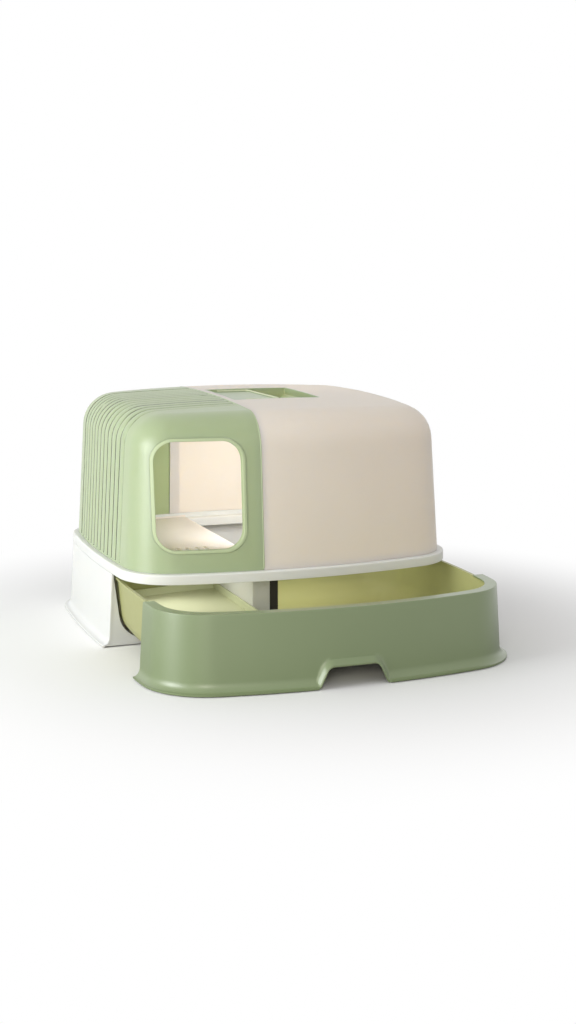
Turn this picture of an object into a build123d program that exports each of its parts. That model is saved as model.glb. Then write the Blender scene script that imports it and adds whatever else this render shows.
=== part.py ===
"""Drawer litter box: a base frame on the floor, a litter drawer pulled part way out of its front,
and a two-tone lift-off hood with an entry window and a flip-up carrying handle.

+Z is up, the drawer opens towards -Y, and +X is to the right of a person who faces the front.
The origin is on the floor, in the middle of the box as it stands with the drawer pulled out.
"""
from build123d import *
from math import cos, radians, sin
import os

os.makedirs("parts", exist_ok=True)

# ---------------------------------------------------------------------------
# Driving dimensions, in millimetres
# ---------------------------------------------------------------------------
# Plan outline, shared by the base ring and the drawer rim
body_width = 557.0
body_depth = 523.0
corner_radius = 88.0
front_bow = 36.5  # how far the front and back arcs stand out past the corners
side_bow = 12.5  # the same for the side arcs
drawer_out = 185.0  # how far the drawer stands open

# Heights above the floor
drawer_floor_gap = 1.0
drawer_rim_z = 114.0
ring_bottom_z = 117.5
ring_top_z = 133.0
roof_top_z = 380.0

# Skirts of the base and the drawer front, with their flared foot
skirt_wall = 3.0
skirt_spread = 6.0  # outward lean from the top edge to the flare
flare_out = 10.5
flare_height = 14.0
flare_steps = 4
foot_edge = 3.0  # upright edge under the flare
side_joint = 127.0  # how far in front of the middle the base walls meet the drawer front
side_joint_gap = 1.5

# Base ring, an upside-down channel that carries the hood
ring_width = 32.0
ring_wall = 3.0
ring_edge_round = 2.4
upstand_height = 8.0
upstand_wall = 2.2
upstand_gap = 0.5
jamb_wall = 3.0

# Runners, tie bar and floor pads
runner_plate = 6.0
runner_wall = 3.0
runner_upright = 24.0
runner_inner = 170.0  # distance from the middle plane to a runner's inner edge
runner_back = 150.0  # how far behind the middle the runners end
runner_fit = 0.2
tie_depth = 12.0
pad_height = 2.0
pad_length = 40.0
pad_width = 16.0
pad_spacing = 190.0
pad_inboard = 22.0  # from a runner's inner edge to the middle of its pads

# Cross beam and entry deck
beam_width = 30.0
beam_depth = 12.0
beam_wall = 3.0
beam_x = -61.0
beam_bearing = 5.0
beam_fit = 0.2
deck_plate = 3.0
deck_inset = 26.5
deck_curb = 2.5
deck_curb_height = 3.0
deck_edge_x = -50.0
slot_length = 46.0
slot_width = 7.0
slot_pitch = 15.0
slot_rows = 2
slot_columns = 8
slot_row_pitch = 62.0
slot_field_x = -155.0
slot_field_y = -105.0

# Drawer front and its finger pull
rim_width = 17.0
rim_plate = 3.0
rim_round = 1.4
pull_top_width = 76.0
pull_bottom_width = 104.0
pull_height = 30.0
pull_round = 12.0
pull_x = -4.0
pull_lip_top = 13.0
pull_lip_side = 8.5
pull_lip_out = 3.0
pull_lip_fade_z = 62.0  # height at which the lip stands this far out of the wall

# Litter tub
tub_wall_gap = 5.5  # from the tub's lip to the base walls where they are widest apart
tub_depth = 467.0
tub_corner = 82.0
tub_wall = 3.0
tub_bottom_z = 13.0
tub_taper = 9.0
tub_bottom_round = 42.0
tub_lip_out = 2.5
tub_lip_height = 3.0
tub_front_gap = 3.0
tub_side_gap = 1.2
glide_width = 14.0
glide_length = 235.0
glide_back = 115.0  # from the drawer's middle to the rear end of the glides
glide_inboard = 15.0  # from a runner's inner edge to the middle of the glide
glide_gap = 0.3
stop_width = 60.0
stop_length = 10.0
stop_front = 122.0  # from the drawer's middle to the stop's front face
stop_clear = 1.0

# Divider, its seal and the step tray inside the drawer
divider_x = -63.5  # left face
divider_width = 29.0
divider_top_z = 110.0
divider_front = 1.5  # from the drawer's middle to the divider's front face
divider_wall = 2.5
seal_width = 14.0
seal_depth = 22.0
insert_gap = 0.3
step_z = 50.0
step_plate = 3.0
step_curb = 12.0

# Hood
hood_inset = 9.0
hood_wall = 3.6
front_lean = 17.0  # how far the front and back walls lean in over their height
side_lean = 15.0
roof_crown_radius = 4000.0
roof_crown_back = 65.0  # how far behind the middle the roof is highest
roof_edge_radius = 55.0
division_x = -67.0
seam_lap = 9.0
seam_wall = 2.0
groove_count = 13
groove_pitch = 22.25
groove_width = 4.5
groove_depth = 2.0
groove_start = 4.0

# Entry window
window_x = -161.5
window_z = 249.0
window_width = 130.0
window_height = 163.5
window_corner = 30.0
bezel_width = 5.0
bezel_proud = 1.2
bezel_depth = 8.0
bezel_fit = 0.2

# Handle recess, flap and pin
recess_x = 18.0
recess_y = 5.0
recess_width = 148.0
recess_length = 165.0
recess_depth = 38.0
recess_slope = 34.0
recess_wall = 2.5
recess_round = 14.0
recess_corner = 4.0
recess_lip = 12.0  # upright part of the sloped side, below the roof's top
recess_fit = 0.2
flap_width = 71.0
flap_plate = 5.0
flap_drop = 5.0
flap_rim = 3.0
flap_rim_height = 2.0
flap_gap = 1.0
flap_round = 6.0
flap_rest_gap = 0.3
knuckle_radius = 4.0
pin_radius = 2.5
pin_running_gap = 0.06
pin_seat_gap = 0.02
ledge_length = 34.0
ledge_depth = 5.0
ledge_height = 4.0

# Places that follow from these
base_y = drawer_out / 2
drawer_y = -drawer_out / 2
tub_width = body_width - 2 * (skirt_wall + tub_wall_gap + tub_lip_out)
tub_y = drawer_y + (tub_depth - body_depth) / 2 + skirt_wall + tub_front_gap
drawer_top_z = drawer_rim_z - rim_plate
overrun = 10.0  # how far a cutting shape runs past what it cuts


# ---------------------------------------------------------------------------
# Shapes that several pieces share
# ---------------------------------------------------------------------------
def level(centre_y, height):
    """Plane parallel to the floor, centred on the base or on the drawer."""
    return Plane((0, centre_y, height))


def upright(y):
    """Plane that faces the front at this y, with sketch x to the right and sketch y up."""
    return Plane(origin=(0, y, 0), x_dir=(1, 0, 0), z_dir=(0, -1, 0))


def bowed_outline(width, depth, corner):
    """Adds to the open sketch a rectangle with four bowed sides and round corners."""
    across, along = width / 2, depth / 2
    corner_x, corner_y = across - side_bow, along - front_bow
    with BuildLine() as border:
        ThreePointArc((-corner_x, -corner_y), (0, -along), (corner_x, -corner_y))
        ThreePointArc((corner_x, -corner_y), (across, 0), (corner_x, corner_y))
        ThreePointArc((corner_x, corner_y), (0, along), (-corner_x, corner_y))
        ThreePointArc((-corner_x, corner_y), (-across, 0), (-corner_x, -corner_y))
    outline = make_face(border.edges())
    fillet(outline.vertices(), radius=corner)


def body_outline(inset, side_inset=0.0):
    """The plan outline of the whole box, set in all round, and by side_inset more at the sides."""
    width = body_width - 2 * (inset + side_inset)
    bowed_outline(width, body_depth - 2 * inset, corner_radius - inset)


def body_slab(inset, centre_y, low, high):
    """Upright slab of the plan outline between two heights."""
    with BuildPart() as slab:
        with BuildSketch(level(centre_y, low)):
            body_outline(inset)
        extrude(amount=high - low)
    return slab.part


def skirt_form(centre_y, low, high, skin=0.0):
    """Solid inside a skirt that leans out downwards to a coved foot, thinned by skin."""
    turns = [radians(90) * step / flare_steps for step in range(flare_steps + 1)]
    rings = [(low, -skirt_spread - flare_out)]
    for turn in turns:
        height = low + foot_edge + flare_height * (1 - cos(turn))
        rings.append((height, -skirt_spread - flare_out * (1 - sin(turn))))
    rings.append((high, 0.0))
    with BuildPart() as form:
        for height, inset in rings:
            with BuildSketch(level(centre_y, height)):
                body_outline(inset + skin)
        loft(ruled=True)
    return form.part


def tub_form(skin):
    """Solid inside the litter tub's outer surface, thinned by skin."""
    with BuildPart() as form:
        with BuildSketch(level(tub_y, tub_bottom_z + skin)):
            shrink = tub_taper + skin
            bowed_outline(tub_width - 2 * shrink, tub_depth - 2 * shrink, tub_corner - shrink)
        with BuildSketch(level(tub_y, drawer_top_z)):
            bowed_outline(tub_width - 2 * skin, tub_depth - 2 * skin, tub_corner - skin)
        loft(ruled=True)
        floor_edges = form.faces().sort_by(Axis.Z)[0].edges()
        fillet(floor_edges, radius=tub_bottom_round - skin)
    return form.part


def hood_form(skin):
    """Solid inside the hood's outer surface, thinned by skin, with its crowned roof."""
    stretch = 1 + overrun / (roof_top_z - ring_top_z)
    front, sides = front_lean * stretch, side_lean * stretch
    with BuildPart() as form:
        with BuildSketch(level(base_y, ring_top_z)):
            body_outline(hood_inset + skin)
        with BuildSketch(level(base_y, roof_top_z + overrun)):
            body_outline(hood_inset + front + skin, sides - front)
        loft(ruled=True)
        with Locations((0, base_y + roof_crown_back, roof_top_z - roof_crown_radius)):
            Sphere(roof_crown_radius - skin, mode=Mode.INTERSECT)
        roof_edges = form.faces().sort_by(Axis.Z)[-1].edges()
        fillet(roof_edges, radius=roof_edge_radius - skin)
    return form.part


def block(low, high):
    """Plain block between two opposite corners."""
    size = [top - bottom for bottom, top in zip(low, high)]
    with BuildPart() as solid:
        with Locations(tuple(low)):
            Box(*size, align=(Align.MIN, Align.MIN, Align.MIN))
    return solid.part


half_width = body_width / 2 + skirt_spread + flare_out + overrun
half_depth = body_depth / 2 + skirt_spread + flare_out + overrun

# ---------------------------------------------------------------------------
# Base frame: ring, side and back walls, upstand and jambs in one moulding
# ---------------------------------------------------------------------------
wall_front_y = base_y - side_joint + side_joint_gap
passage_half_top = tub_width / 2 + tub_lip_out + tub_side_gap
passage_half_bottom = tub_width / 2 - tub_taper + tub_side_gap
passage_bottom_z = tub_bottom_z - tub_side_gap
passage_shoulder_z = drawer_top_z - tub_lip_height - tub_side_gap
runner_top_z = pad_height + runner_plate
glide_x = runner_inner + glide_inboard
glide_reach = glide_x + glide_width / 2 + tub_side_gap

with BuildPart() as jambs:
    add(skirt_form(base_y, 0, ring_bottom_z, skirt_wall / 2))
    add(
        block(
            (-half_width, wall_front_y, pad_height),
            (half_width, wall_front_y + jamb_wall, ring_bottom_z),
        ),
        mode=Mode.INTERSECT,
    )
    add(
        block(
            (-runner_inner, wall_front_y - overrun, 0),
            (runner_inner, wall_front_y + jamb_wall + overrun, ring_bottom_z),
        ),
        mode=Mode.SUBTRACT,
    )
    with BuildSketch(upright(wall_front_y - overrun)) as passage:
        with BuildLine():
            Polyline(
                (-passage_half_bottom, passage_bottom_z),
                (passage_half_bottom, passage_bottom_z),
                (passage_half_top, passage_shoulder_z),
                (passage_half_top, ring_bottom_z + overrun),
                (-passage_half_top, ring_bottom_z + overrun),
                (-passage_half_top, passage_shoulder_z),
                close=True,
            )
        make_face()
        fillet(passage.vertices().group_by(Axis.Y)[0], radius=tub_bottom_round)
    extrude(amount=-(jamb_wall + 2 * overrun), mode=Mode.SUBTRACT)
    add(
        block(
            (-glide_reach, wall_front_y - overrun, runner_top_z),
            (glide_reach, wall_front_y + jamb_wall + overrun, ring_bottom_z),
        ),
        mode=Mode.SUBTRACT,
    )

ring_cavity = body_slab(ring_wall, base_y, ring_bottom_z - overrun, ring_top_z - ring_wall)
ring_core = body_slab(ring_width - ring_wall, base_y, ring_bottom_z, ring_top_z - ring_wall)
ring_opening = body_slab(ring_width, base_y, ring_bottom_z - overrun, ring_top_z + overrun)
upstand_lean = side_lean * upstand_height / (roof_top_z - ring_top_z)
upstand_inset = hood_inset + hood_wall + upstand_gap + upstand_lean
upstand_top_z = ring_top_z + upstand_height
ear_low_z = ring_top_z - ring_wall


def beam_ears(bearing, side_gap):
    """Ends of the cross beam that lie on the ring's inner wall."""
    across = beam_width / 2 + side_gap
    with BuildPart() as ears:
        add(body_slab(ring_width - bearing, base_y, ear_low_z, ring_top_z))
        add(
            block(
                (beam_x - across, base_y - half_depth, ear_low_z),
                (beam_x + across, base_y + half_depth, ring_top_z),
            ),
            mode=Mode.INTERSECT,
        )
    return ears.part


with BuildPart() as base_frame:
    add(skirt_form(base_y, 0, ring_bottom_z))
    add(skirt_form(base_y, 0, ring_bottom_z, skirt_wall), mode=Mode.SUBTRACT)
    add(
        block((-half_width, base_y - half_depth, -overrun), (half_width, wall_front_y, ring_top_z)),
        mode=Mode.SUBTRACT,
    )
    with BuildSketch(level(base_y, ring_bottom_z)):
        body_outline(0)
    extrude(amount=ring_top_z - ring_bottom_z)
    ring_edges = base_frame.faces().sort_by(Axis.Z)[-1].edges()
    fillet(ring_edges, radius=ring_edge_round)
    add(ring_cavity, mode=Mode.SUBTRACT)
    add(ring_core)
    add(ring_opening, mode=Mode.SUBTRACT)
    add(body_slab(upstand_inset, base_y, ring_top_z, upstand_top_z))
    add(
        body_slab(upstand_inset + upstand_wall, base_y, ring_top_z, upstand_top_z + overrun),
        mode=Mode.SUBTRACT,
    )
    add(beam_ears(beam_bearing + beam_fit, beam_fit), mode=Mode.SUBTRACT)
    add(jambs.part)
base_frame.part.label = "base_frame"
export_step(base_frame.part, "parts/base_frame.step")

# ---------------------------------------------------------------------------
# Runners along the side walls, the tie bar between them and the floor pads
# ---------------------------------------------------------------------------
runner_front_y = wall_front_y + jamb_wall + runner_fit
runner_back_y = base_y + runner_back
runner_skin = skirt_wall + runner_fit

with BuildPart() as runner_hollow:
    add(skirt_form(base_y, 0, ring_bottom_z, runner_skin + runner_wall))
    add(
        block(
            (-half_width, base_y - half_depth, runner_top_z),
            (half_width, base_y + half_depth, ring_bottom_z),
        ),
        mode=Mode.INTERSECT,
    )

for side, name in ((-1, "runner_left"), (1, "runner_right")):
    near_x, far_x = sorted((side * runner_inner, side * half_width))
    with BuildPart() as runner:
        add(skirt_form(base_y, 0, ring_bottom_z, runner_skin))
        add(
            block(
                (near_x, runner_front_y, pad_height),
                (far_x, runner_back_y, pad_height + runner_upright),
            ),
            mode=Mode.INTERSECT,
        )
        add(runner_hollow.part, mode=Mode.SUBTRACT)
    runner.part.label = name
    export_step(runner.part, f"parts/{name}.step")

tie_back_y = runner_front_y + tie_depth
with BuildPart() as tie_bar:
    add(block((-runner_inner, runner_front_y, pad_height), (runner_inner, tie_back_y, runner_top_z)))
tie_bar.part.label = "tie_bar"
export_step(tie_bar.part, "parts/tie_bar.step")

pad_x = runner_inner + pad_inboard
pad_y = (runner_front_y + runner_back_y) / 2
with BuildPart() as floor_pads:
    with BuildSketch(level(pad_y, 0)):
        with GridLocations(2 * pad_x, pad_spacing, 2, 2):
            SlotOverall(pad_length, pad_width, rotation=90)
    extrude(amount=pad_height)
floor_pads.part.label = "floor_pads"
export_step(floor_pads.part, "parts/floor_pads.step")

# ---------------------------------------------------------------------------
# Cross beam that carries the deck's inner edge, and the slotted entry deck
# ---------------------------------------------------------------------------
beam_low_z = ring_top_z - beam_depth
beam_reach = beam_width / 2 - beam_wall

with BuildPart() as cross_beam:
    add(body_slab(ring_width + beam_fit, base_y, beam_low_z, ring_top_z))
    add(
        block(
            (beam_x - beam_width / 2, base_y - half_depth, beam_low_z),
            (beam_x + beam_width / 2, base_y + half_depth, ring_top_z),
        ),
        mode=Mode.INTERSECT,
    )
    add(beam_ears(beam_bearing, 0))
    add(
        block(
            (beam_x - beam_reach, base_y - half_depth, beam_low_z),
            (beam_x + beam_reach, base_y + half_depth, ring_top_z - beam_wall),
        ),
        mode=Mode.SUBTRACT,
    )
cross_beam.part.label = "cross_beam"
export_step(cross_beam.part, "parts/cross_beam.step")

deck_top_z = ring_top_z + deck_plate
with BuildPart() as entry_deck:
    add(body_slab(deck_inset, base_y, ring_top_z, deck_top_z + deck_curb_height))
    add(
        body_slab(deck_inset + deck_curb, base_y, deck_top_z, deck_top_z + deck_curb_height),
        mode=Mode.SUBTRACT,
    )
    add(
        block(
            (deck_edge_x, base_y - half_depth, ring_top_z),
            (half_width, base_y + half_depth, roof_top_z),
        ),
        mode=Mode.SUBTRACT,
    )
    with BuildSketch(level(base_y, ring_top_z)):
        with Locations((slot_field_x, slot_field_y)):
            with GridLocations(slot_pitch, slot_row_pitch, slot_columns, slot_rows):
                SlotOverall(slot_length, slot_width, rotation=90)
    extrude(amount=deck_plate, mode=Mode.SUBTRACT)
entry_deck.part.label = "entry_deck"
export_step(entry_deck.part, "parts/entry_deck.step")

# ---------------------------------------------------------------------------
# Drawer front: a flared skirt round the front corners, with a rim and a finger pull
# ---------------------------------------------------------------------------
front_back_y = drawer_y - side_joint

with BuildPart() as front_hollow:
    add(skirt_form(drawer_y, drawer_floor_gap, drawer_rim_z, skirt_wall))
    add(
        block(
            (-half_width, drawer_y - half_depth, 0), (half_width, drawer_y + half_depth, drawer_top_z)
        ),
        mode=Mode.INTERSECT,
    )


def pull_outline(grow_side, grow_top):
    """Adds the finger pull's outline to the open sketch, grown at the sides and the top."""
    bottom, top = pull_bottom_width / 2 + grow_side, pull_top_width / 2
    top_z = drawer_floor_gap + pull_height + grow_top
    with BuildLine() as border:
        Polyline(
            (pull_x - bottom, drawer_floor_gap),
            (pull_x + bottom, drawer_floor_gap),
            (pull_x + top, top_z),
            (pull_x - top, top_z),
            close=True,
        )
    outline = make_face(border.edges())
    fillet(outline.vertices().group_by(Axis.Y)[-1], radius=pull_round)


pull_depth = half_depth - body_depth / 2 + front_bow + rim_width
with BuildPart() as pull_lip:
    with BuildSketch(level(drawer_y, drawer_floor_gap)):
        body_outline(-skirt_spread - flare_out)
    with BuildSketch(level(drawer_y, pull_lip_fade_z)):
        body_outline(-skirt_spread / 2 - pull_lip_out)
    loft(ruled=True)
    with BuildSketch(upright(drawer_y - half_depth)):
        pull_outline(pull_lip_side, pull_lip_top)
    extrude(amount=-pull_depth, mode=Mode.INTERSECT)
    add(front_hollow.part, mode=Mode.SUBTRACT)

with BuildPart() as drawer_front:
    add(skirt_form(drawer_y, drawer_floor_gap, drawer_rim_z))
    rim_edges = drawer_front.faces().sort_by(Axis.Z)[-1].edges()
    fillet(rim_edges, radius=rim_round)
    add(front_hollow.part, mode=Mode.SUBTRACT)
    add(body_slab(rim_width, drawer_y, 0, drawer_rim_z + overrun), mode=Mode.SUBTRACT)
    add(
        block((-half_width, front_back_y, 0), (half_width, drawer_y + half_depth, roof_top_z)),
        mode=Mode.SUBTRACT,
    )
    add(pull_lip.part)
    with BuildSketch(upright(drawer_y - half_depth)):
        pull_outline(0, 0)
    extrude(amount=-pull_depth, mode=Mode.SUBTRACT)
drawer_front.part.label = "drawer_front"
export_step(drawer_front.part, "parts/drawer_front.step")

# ---------------------------------------------------------------------------
# Litter tub, the glides under it and the stop that meets the tie bar
# ---------------------------------------------------------------------------
with BuildPart() as drawer_tub:
    add(tub_form(0))
    with BuildSketch(level(tub_y, drawer_top_z - tub_lip_height)):
        bowed_outline(
            tub_width + 2 * tub_lip_out, tub_depth + 2 * tub_lip_out, tub_corner + tub_lip_out
        )
    extrude(amount=tub_lip_height)
    add(tub_form(tub_wall), mode=Mode.SUBTRACT)
drawer_tub.part.label = "drawer_tub"
export_step(drawer_tub.part, "parts/drawer_tub.step")

glide_y = drawer_y + glide_back - glide_length / 2
glide_low_z = runner_top_z + glide_gap
with BuildPart() as tub_glides:
    with BuildSketch(level(glide_y, glide_low_z)):
        with GridLocations(2 * glide_x, 0, 2, 1):
            SlotOverall(glide_length, glide_width, rotation=90)
    extrude(amount=tub_bottom_z - glide_low_z)
tub_glides.part.label = "tub_glides"
export_step(tub_glides.part, "parts/tub_glides.step")

with BuildPart() as drawer_stop:
    add(
        block(
            (-stop_width / 2, drawer_y + stop_front, pad_height + stop_clear),
            (stop_width / 2, drawer_y + stop_front + stop_length, tub_bottom_z),
        )
    )
drawer_stop.part.label = "drawer_stop"
export_step(drawer_stop.part, "parts/drawer_stop.step")

# ---------------------------------------------------------------------------
# Divider, its seal and the step tray, which stand on the tub's floor
# ---------------------------------------------------------------------------
insert_skin = tub_wall + insert_gap
insert_low_z = tub_bottom_z + insert_skin
divider_right = divider_x + divider_width
divider_front_y = drawer_y + divider_front

with BuildPart() as divider_hollow:
    add(tub_form(insert_skin + divider_wall))
    with BuildSketch(level(tub_y, insert_low_z)):
        spread = tub_taper + insert_skin + tub_bottom_round
        bowed_outline(tub_width - 2 * spread, tub_depth - 2 * spread, tub_corner / 2)
    extrude(amount=insert_gap + step_plate + divider_wall)
    add(
        block(
            (divider_x + divider_wall, divider_front_y + divider_wall, 0),
            (divider_right - divider_wall, drawer_y + half_depth, divider_top_z - divider_wall),
        ),
        mode=Mode.INTERSECT,
    )

with BuildPart() as divider:
    add(tub_form(insert_skin))
    add(
        block(
            (divider_x, divider_front_y, 0),
            (divider_right, drawer_y + half_depth, divider_top_z),
        ),
        mode=Mode.INTERSECT,
    )
    add(divider_hollow.part, mode=Mode.SUBTRACT)
divider.part.label = "divider"
export_step(divider.part, "parts/divider.step")

with BuildPart() as divider_seal:
    add(
        block(
            (divider_right, divider_front_y, insert_low_z),
            (divider_right + seal_width, divider_front_y + seal_depth, divider_top_z),
        )
    )
divider_seal.part.label = "divider_seal"
export_step(divider_seal.part, "parts/divider_seal.step")

step_right = divider_x - insert_gap
step_low_hollow = step_z - step_plate
with BuildPart() as step_floor_opening:
    with BuildSketch(level(tub_y, 0)):
        spread = tub_taper + insert_skin + tub_bottom_round
        bowed_outline(tub_width - 2 * spread, tub_depth - 2 * spread, tub_corner / 2)
    extrude(amount=step_low_hollow)
    add(tub_form(insert_skin + step_plate))
    add(
        block(
            (-half_width, drawer_y - half_depth, 0),
            (step_right - step_plate, drawer_y + half_depth, step_low_hollow),
        ),
        mode=Mode.INTERSECT,
    )

with BuildPart() as step_upper_opening:
    add(tub_form(insert_skin + step_plate))
    add(
        block(
            (-half_width, drawer_y - half_depth, step_z),
            (step_right - step_plate, drawer_y + half_depth, roof_top_z),
        ),
        mode=Mode.INTERSECT,
    )

with BuildPart() as step_tray:
    add(tub_form(insert_skin))
    add(
        block(
            (-half_width, drawer_y - half_depth, 0),
            (step_right, drawer_y + half_depth, step_z + step_curb),
        ),
        mode=Mode.INTERSECT,
    )
    add(step_floor_opening.part, mode=Mode.SUBTRACT)
    add(step_upper_opening.part, mode=Mode.SUBTRACT)
step_tray.part.label = "step_tray"
export_step(step_tray.part, "parts/step_tray.step")

# ---------------------------------------------------------------------------
# Hood: the ribbed entry shell on the left, the plain shell on the right, the seam strip
# ---------------------------------------------------------------------------
hood_outer = hood_form(0)
hood_inner = hood_form(hood_wall)
window_y = base_y - half_depth


def window_sketch(grow):
    """Adds the window's outline to the open sketch, grown all round."""
    with Locations((window_x, window_z)):
        RectangleRounded(window_width + 2 * grow, window_height + 2 * grow, window_corner + grow)


def recess_plan(grow):
    """Adds the handle recess's outline, seen from above, to the open sketch."""
    with Locations((recess_x, recess_y)):
        RectangleRounded(recess_width + 2 * grow, recess_length + 2 * grow, recess_corner + grow)


with BuildPart() as grooves:
    with Locations((0, base_y, 0)):
        with GridLocations(0, groove_pitch, 1, groove_count):
            with Locations((-half_width, 0, ring_top_z + groove_start)):
                Box(
                    half_width + division_x,
                    groove_width,
                    roof_top_z - ring_top_z,
                    align=(Align.MIN, Align.CENTER, Align.MIN),
                )
    add(hood_form(groove_depth), mode=Mode.SUBTRACT)

with BuildPart() as hood_entry_shell:
    add(hood_outer)
    add(hood_inner, mode=Mode.SUBTRACT)
    split(bisect_by=Plane(origin=(division_x, 0, 0), z_dir=(-1, 0, 0)), keep=Keep.TOP)
    add(grooves.part, mode=Mode.SUBTRACT)
    with BuildSketch(upright(window_y)):
        window_sketch(bezel_width + bezel_fit)
    extrude(amount=-half_depth, mode=Mode.SUBTRACT)
hood_entry_shell.part.label = "hood_entry_shell"
export_step(hood_entry_shell.part, "parts/hood_entry_shell.step")

with BuildPart() as hood_main_shell:
    add(hood_outer)
    add(hood_inner, mode=Mode.SUBTRACT)
    split(bisect_by=Plane(origin=(division_x, 0, 0), z_dir=(1, 0, 0)), keep=Keep.TOP)
    with BuildSketch(level(base_y, roof_top_z + overrun)):
        recess_plan(recess_fit)
    extrude(amount=-recess_depth, mode=Mode.SUBTRACT)
hood_main_shell.part.label = "hood_main_shell"
export_step(hood_main_shell.part, "parts/hood_main_shell.step")

seam_low_z = upstand_top_z + upstand_gap
with BuildPart() as seam_strip:
    add(hood_inner)
    add(hood_form(hood_wall + seam_wall), mode=Mode.SUBTRACT)
    add(
        block(
            (division_x - seam_lap, base_y - half_depth, seam_low_z),
            (division_x + seam_lap, base_y + half_depth, roof_top_z),
        ),
        mode=Mode.INTERSECT,
    )
seam_strip.part.label = "seam_strip"
export_step(seam_strip.part, "parts/seam_strip.step")

with BuildPart() as window_bezel:
    add(hood_form(-bezel_proud))
    add(hood_form(bezel_depth), mode=Mode.SUBTRACT)
    with BuildSketch(upright(window_y)):
        window_sketch(bezel_width)
    extrude(amount=-half_depth, mode=Mode.INTERSECT)
    with BuildSketch(upright(window_y)):
        window_sketch(0)
    extrude(amount=-half_depth, mode=Mode.SUBTRACT)
window_bezel.part.label = "window_bezel"
export_step(window_bezel.part, "parts/window_bezel.step")

# ---------------------------------------------------------------------------
# Handle recess, the flap that folds up out of it and the flap's pin
# ---------------------------------------------------------------------------
recess_left = recess_x - recess_width / 2
recess_right = recess_x + recess_width / 2
recess_mid_y = base_y + recess_y
flap_top_z = roof_top_z - flap_drop
flap_low_z = flap_top_z - flap_plate
flap_length = recess_length - 2 * (recess_wall + flap_gap)
pin_x = recess_left + recess_wall + flap_gap + knuckle_radius
pin_z = flap_top_z - flap_plate / 2
flap_right = pin_x + flap_width


def recess_form(skin):
    """Solid inside the recess cup, with its sloped far side, thinned by skin."""
    floor_z = roof_top_z - recess_depth + skin
    right = recess_right - skin
    with BuildPart() as form:
        with BuildSketch(upright(base_y - half_depth)) as profile:
            with BuildLine():
                Polyline(
                    (recess_left + skin, floor_z),
                    (right - recess_slope, floor_z),
                    (right, roof_top_z - recess_lip),
                    (right, roof_top_z + overrun),
                    (recess_left + skin, roof_top_z + overrun),
                    close=True,
                )
            make_face()
            low_corner = profile.vertices().group_by(Axis.Y)[0].sort_by(Axis.X)[-1]
            fillet(low_corner, radius=recess_round)
        extrude(amount=-2 * half_depth)
        with BuildSketch(level(base_y, roof_top_z - recess_depth)):
            recess_plan(-skin)
        extrude(amount=recess_depth + overrun, mode=Mode.INTERSECT)
    return form.part


with BuildPart() as handle_recess:
    add(recess_form(0))
    add(hood_outer, mode=Mode.INTERSECT)
    add(recess_form(recess_wall), mode=Mode.SUBTRACT)
    for end in (-1, 1):
        ledge_out = recess_mid_y + end * (recess_length / 2 - recess_wall)
        ledge_in = ledge_out - end * ledge_depth
        near_y, far_y = sorted((ledge_in, ledge_out))
        ledge_top_z = flap_low_z - flap_rest_gap
        add(
            block(
                (flap_right - ledge_length, near_y, ledge_top_z - ledge_height),
                (flap_right, far_y, ledge_top_z),
            )
        )
    with BuildSketch(upright(recess_mid_y)):
        with Locations((pin_x, pin_z)):
            Circle(pin_radius + pin_seat_gap)
    extrude(amount=recess_length / 2, both=True, mode=Mode.SUBTRACT)
handle_recess.part.label = "handle_recess"
export_step(handle_recess.part, "parts/handle_recess.step")

with BuildPart() as handle_pin:
    with BuildSketch(upright(recess_mid_y)):
        with Locations((pin_x, pin_z)):
            Circle(pin_radius)
    extrude(amount=recess_length / 2 - recess_fit, both=True)
handle_pin.part.label = "handle_pin"
export_step(handle_pin.part, "parts/handle_pin.step")

with BuildPart() as handle_flap:
    with BuildSketch(level(recess_mid_y, flap_low_z)):
        with Locations(((pin_x + flap_right) / 2, 0)):
            plate = Rectangle(flap_width, flap_length)
        fillet(plate.vertices().group_by(Axis.X)[-1], radius=flap_round)
    extrude(amount=flap_plate + flap_rim_height)
    with BuildSketch(level(recess_mid_y, flap_top_z)):
        with Locations(((pin_x + flap_right - flap_rim) / 2, 0)):
            Rectangle(flap_width - flap_rim, flap_length - 2 * flap_rim)
    extrude(amount=flap_rim_height, mode=Mode.SUBTRACT)
    with BuildSketch(upright(recess_mid_y)):
        with Locations((pin_x, pin_z)):
            Circle(knuckle_radius)
    extrude(amount=flap_length / 2, both=True)
    with BuildSketch(upright(recess_mid_y)):
        with Locations((pin_x, pin_z)):
            Circle(pin_radius + pin_running_gap)
    extrude(amount=flap_length / 2, both=True, mode=Mode.SUBTRACT)
handle_flap.part.label = "handle_flap"
export_step(handle_flap.part, "parts/handle_flap.step")
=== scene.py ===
# %% [markdown]
# # A litter box with a drawer
# The box stands on a white base frame. A two-tone hood lifts off it, a green drawer slides out
# of its front, and a flap in the roof folds up as a handle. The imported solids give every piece
# its place. This notebook builds finer surfaces around them and gives each one its finish.

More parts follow.
